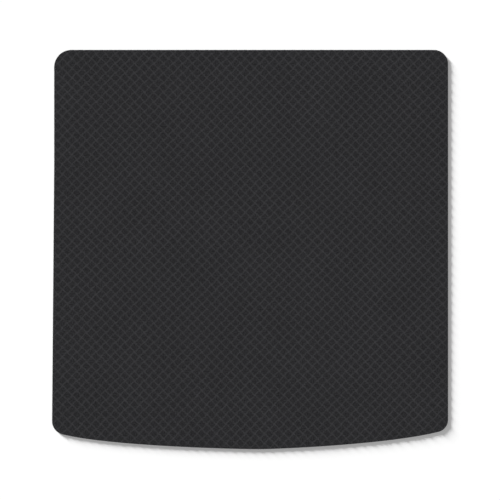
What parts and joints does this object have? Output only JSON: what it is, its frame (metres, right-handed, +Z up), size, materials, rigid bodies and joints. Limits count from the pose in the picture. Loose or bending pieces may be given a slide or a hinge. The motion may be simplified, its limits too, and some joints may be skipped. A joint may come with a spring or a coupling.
{
  "type": "trunk mat",
  "caption": "Flat rubber mat for a car's load space, with a lattice of low diamond ridges, rounded corners and a bowed rear edge.",
  "frame": {"origin": "middle of the mat's length and width, on its flat underside", "axes": "+Z up through the mat, +Y from the bowed rear edge to the straight front edge, +X to the straight right side"},
  "size_m": [0.9898, 0.998, 0.004],
  "materials": {
    "rubber": "matte black moulded rubber, a little paler on the crests of the ridges"
  },
  "bodies": {
    "root": {"mat": "rubber"}
  },
  "joints": []
}
